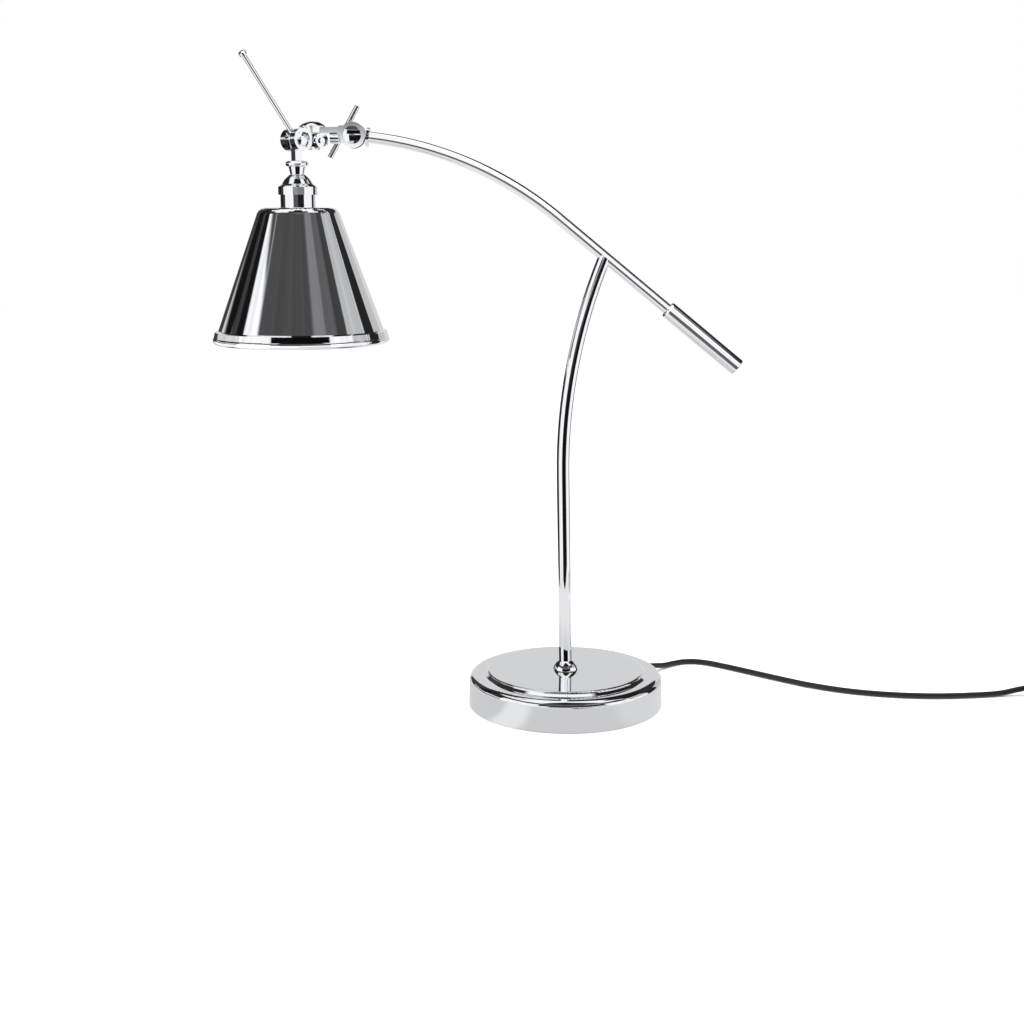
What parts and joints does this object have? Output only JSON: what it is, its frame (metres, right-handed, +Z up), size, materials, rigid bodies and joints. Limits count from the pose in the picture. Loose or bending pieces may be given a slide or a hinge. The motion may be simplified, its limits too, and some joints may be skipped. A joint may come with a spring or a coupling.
{
  "type": "desk lamp",
  "caption": "Chromed desk lamp: round weighted base, bent stem, counterbalanced boom arm, clamped tilting link, swivelling conical shade with handle rod, and cord with in-line switch.",
  "frame": {"origin": "centre of the round base where its felt meets the table", "axes": "+Z up; -X towards the lamp's head and +X towards the counterweight; -Y faces the viewer, +Y is the side the cord leaves"},
  "size_m": [0.8638, 0.2181, 0.5853],
  "materials": {
    "chrome": "polished",
    "steel": "satin",
    "brass": "satin",
    "cast_iron": "rough",
    "felt": "felt",
    "white_plastic": "gloss",
    "black_plastic": "satin",
    "cord": "satin",
    "glass": "gloss"
  },
  "bodies": {
    "base": {"base_cover": "chrome", "base_weight": "cast_iron", "base_felt": "felt", "stem_stud": "steel", "stud_washer": "steel", "stud_nut": "brass", "stem_collar": "chrome", "stem_tube": "chrome", "arm_tube": "chrome", "counterweight": "chrome", "ballast_screw": "steel", "arm_knuckle": "chrome", "flex_stem": "white_plastic", "flex_arm": "white_plastic", "terminal_block": "white_plastic", "terminal_screws": "brass", "cord_inner": "cord", "cord_bush": "black_plastic", "bush_nut": "black_plastic", "cord_lead": "cord", "cord_tail": "cord", "cord_coil": "cord", "cord_end": "cord", "switch_base": "black_plastic", "switch_cover": "black_plastic", "switch_pin": "steel", "switch_screws": "steel", "plug_body": "black_plastic", "plug_pins": "brass"},
    "link": {"link_fork": "chrome", "tilt_bolt": "chrome", "tilt_nut": "chrome", "tilt_washers": "steel", "swivel_bolt": "chrome", "swivel_nut": "chrome"},
    "clamp": {"clamp_screw": "chrome", "clamp_bar": "chrome"},
    "swivel": {"swivel_body": "chrome", "lock_screw": "chrome", "swivel_washer": "steel", "knuckle_bolt": "chrome", "knuckle_nut": "chrome", "knuckle_washers": "steel"},
    "head": {"shade_neck": "chrome", "handle_rod": "chrome", "handle_cap": "chrome", "holder_cap": "chrome", "holder_skirt": "chrome", "holder_insert": "white_plastic", "holder_contact": "brass", "shade_ring": "white_plastic", "shade": "chrome", "bulb_globe": "glass", "bulb_cap": "steel"},
    "rocker": {"switch_rocker": "black_plastic"}
  },
  "joints": [
    {"name": "link_tilt", "type": "hinge", "parent": "base", "child": "link", "pos_m": [-0.1893, 0, 0.51831], "axis": [0, 1, 0], "range_deg": [-20, 60]},
    {"name": "clamp_turn", "type": "hinge", "parent": "link", "child": "clamp", "pos_m": [-0.199, 0, 0.52201], "axis": [0, 1, 0], "continuous": true},
    {"name": "head_swing", "type": "hinge", "parent": "link", "child": "swivel", "pos_m": [-0.2247, 0, 0.51831], "axis": [0, 0, 1], "range_deg": [-75, 35]},
    {"name": "head_tilt", "type": "hinge", "parent": "swivel", "child": "head", "pos_m": [-0.23728, -0.01259, 0.51391], "axis": [-0.7071, 0.7071, 0], "range_deg": [-30, 50]},
    {"name": "switch_press", "type": "hinge", "parent": "base", "child": "rocker", "pos_m": [0.481, 0.018, 0.0128], "axis": [0, 1, 0], "range_deg": [-14, 0]}
  ]
}
